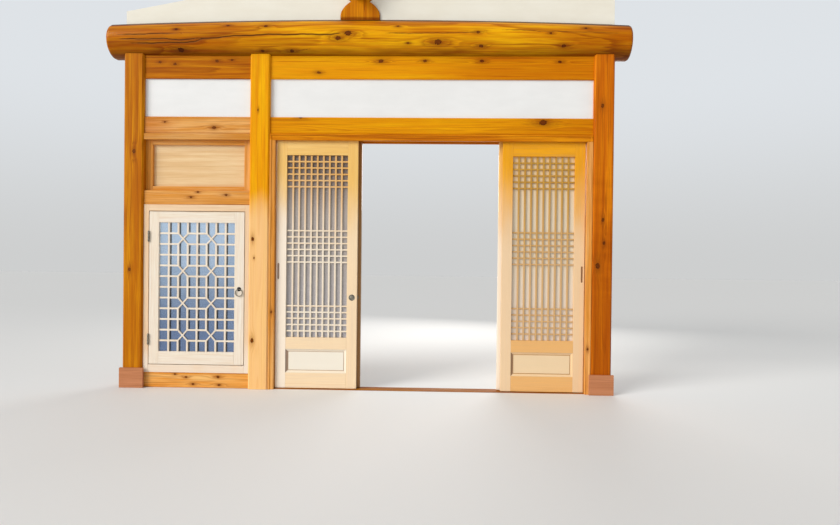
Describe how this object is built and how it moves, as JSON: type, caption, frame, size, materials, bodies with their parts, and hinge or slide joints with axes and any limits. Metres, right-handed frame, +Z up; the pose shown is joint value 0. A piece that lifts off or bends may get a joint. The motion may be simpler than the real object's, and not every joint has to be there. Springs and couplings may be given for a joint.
{
  "type": "timber-framed end wall of a hanok room with sliding lattice doors",
  "caption": "Timber-framed end wall of a Korean room: round girder and king post over plaster, a wide doorway with sliding lattice leaves and a small hinged lattice door.",
  "frame": {"origin": "on the floor, below the middle of the girder, half way through the wall", "axes": "+X to the right along the wall, +Y away from the room, +Z up"},
  "size_m": [4.15, 0.4, 3.46],
  "materials": {
    "amber_pine": "knotty pine, amber varnish, satin",
    "pale_pine": "fine pale pine, clear satin varnish",
    "foot_pine": "plain boards, light stain",
    "wall_plaster": "white lime plaster, matt",
    "gable_plaster": "cream lime plaster, matt",
    "frosted_glass": "frosted, paper-like",
    "blue_glass": "glossy, daylight-blue",
    "black_iron": "blackened",
    "dull_nickel": "dull nickel"
  },
  "bodies": {
    "wall": {"girder": "amber_pine", "left_post": "amber_pine", "middle_post": "amber_pine", "right_post": "amber_pine", "left_foot_casing": "foot_pine", "right_foot_casing": "foot_pine", "king_post": "amber_pine", "purlin_rail": "amber_pine", "ridge_purlin": "amber_pine", "left_gable_plaster": "gable_plaster", "right_gable_plaster": "gable_plaster", "left_top_rail": "amber_pine", "left_upper_plaster": "wall_plaster", "left_lintel": "amber_pine", "right_top_rail": "amber_pine", "right_upper_plaster": "wall_plaster", "right_lintel": "amber_pine", "bay_sill_beam": "amber_pine", "small_door_casing": "amber_pine", "bay_middle_rail": "amber_pine", "transom_frame": "amber_pine", "transom_panel": "pale_pine", "bay_head": "amber_pine", "small_door_lower_hinge": "dull_nickel", "small_door_upper_hinge": "dull_nickel", "doorway_head": "amber_pine", "doorway_left_jamb": "amber_pine", "doorway_right_jamb": "amber_pine", "threshold": "amber_pine"},
    "small_door": {"small_door_frame": "pale_pine", "small_door_lattice": "pale_pine", "small_door_glass": "blue_glass", "small_door_ring_pull": "black_iron"},
    "front_left_leaf": {"front_left_leaf_frame": "pale_pine", "front_left_leaf_lattice": "pale_pine", "front_left_leaf_pane": "frosted_glass"},
    "front_right_leaf": {"front_right_leaf_frame": "pale_pine", "front_right_leaf_lattice": "pale_pine", "front_right_leaf_pane": "frosted_glass"},
    "rear_left_leaf": {"rear_left_leaf_frame": "pale_pine", "rear_left_leaf_lattice": "pale_pine", "rear_left_leaf_pane": "frosted_glass"},
    "rear_right_leaf": {"rear_right_leaf_frame": "pale_pine", "rear_right_leaf_lattice": "pale_pine", "rear_right_leaf_pane": "frosted_glass"}
  },
  "joints": [
    {"name": "small_door_hinge", "type": "hinge", "parent": "wall", "child": "small_door", "pos_m": [-1.7505, -0.0693, 0.8], "axis": [0, 0, -1], "range_deg": [0, 100]},
    {"name": "front_left_slide", "type": "slide", "parent": "wall", "child": "front_left_leaf", "axis": [1, 0, 0], "range_m": [0, 0.5755]},
    {"name": "front_right_slide", "type": "slide", "parent": "wall", "child": "front_right_leaf", "axis": [-1, 0, 0], "range_m": [0, 0.5755]},
    {"name": "rear_left_slide", "type": "slide", "parent": "wall", "child": "rear_left_leaf", "axis": [1, 0, 0], "range_m": [-0.025, 0.5505]},
    {"name": "rear_right_slide", "type": "slide", "parent": "wall", "child": "rear_right_leaf", "axis": [-1, 0, 0], "range_m": [-0.025, 0.5505]}
  ]
}
